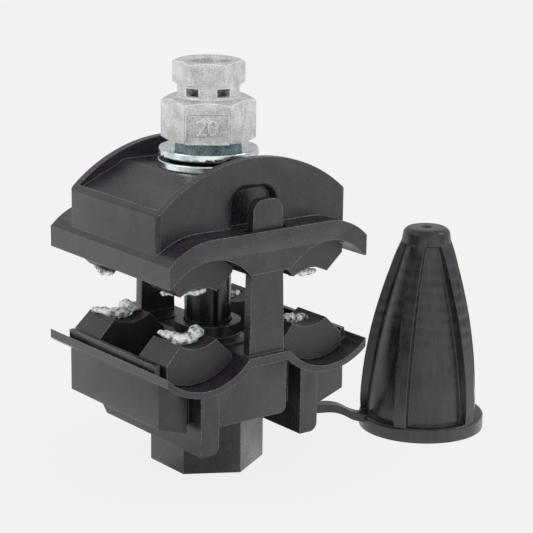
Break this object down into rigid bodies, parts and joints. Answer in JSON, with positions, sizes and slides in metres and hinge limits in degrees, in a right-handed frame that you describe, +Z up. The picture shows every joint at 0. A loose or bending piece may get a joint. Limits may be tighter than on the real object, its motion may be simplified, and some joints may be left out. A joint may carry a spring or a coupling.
{
  "type": "insulation piercing connector",
  "caption": "Two moulded clamp halves with toothed blades in rubber boots, drawn together on two parallel cable grooves by a bolt and shear nut, with a tethered end cap.",
  "frame": {"origin": "centre of the hexagonal boss's bottom face, on the bolt's axis", "axes": "+X across the two grooves towards the tethered cap, +Y along the conductors, +Z up the bolt towards the nut"},
  "size_m": [0.091, 0.0457, 0.0858],
  "materials": {
    "nylon": "glass-filled moulding, fine matte grain",
    "boot_rubber": "moulded elastomer, matte",
    "cap_plastic": "flexible moulding, satin",
    "sleeve_plastic": "black tube, semi-gloss",
    "nut_alloy": "cast, rough matte grey",
    "washer_steel": "bright zinc plate",
    "bolt_steel": "zinc plated, dulled",
    "tinned_copper": "tinned, satin",
    "grease": "wet translucent grease"
  },
  "bodies": {
    "lower": {"lower_body": "nylon", "clamp_bolt": "bolt_steel", "bolt_sleeve": "sleeve_plastic", "lower_front_blade": "tinned_copper", "lower_front_left_boot": "boot_rubber", "lower_front_right_boot": "boot_rubber", "lower_rear_blade": "tinned_copper", "lower_rear_left_boot": "boot_rubber", "lower_rear_right_boot": "boot_rubber", "lower_grease": "grease"},
    "upper": {"upper_body": "nylon", "flat_washer": "washer_steel", "cupped_washer": "washer_steel", "upper_front_blade": "tinned_copper", "upper_front_left_boot": "boot_rubber", "upper_front_right_boot": "boot_rubber", "upper_rear_blade": "tinned_copper", "upper_rear_left_boot": "boot_rubber", "upper_rear_right_boot": "boot_rubber", "upper_grease": "grease"},
    "nut": {"shear_nut": "nut_alloy"},
    "cap": {"end_cap": "cap_plastic"}
  },
  "joints": [
    {"name": "clamp_slide", "type": "slide", "parent": "lower", "child": "upper", "axis": [0, 0, 1], "range_m": [-0.0075, 0]},
    {"name": "nut_turn", "type": "hinge", "parent": "upper", "child": "nut", "pos_m": [0, 0, 0.07], "axis": [0, 0, 1], "range_deg": [-2160, 0]},
    {"name": "cap_swivel", "type": "hinge", "parent": "lower", "child": "cap", "pos_m": [0.01335, 0.00625, 0.0055], "axis": [0, 0, 1], "range_deg": [-30, 75]}
  ],
  "couplings": [
    {"joint": "nut_turn", "follows": "clamp_slide", "rad_per_m": 5026.5}
  ]
}
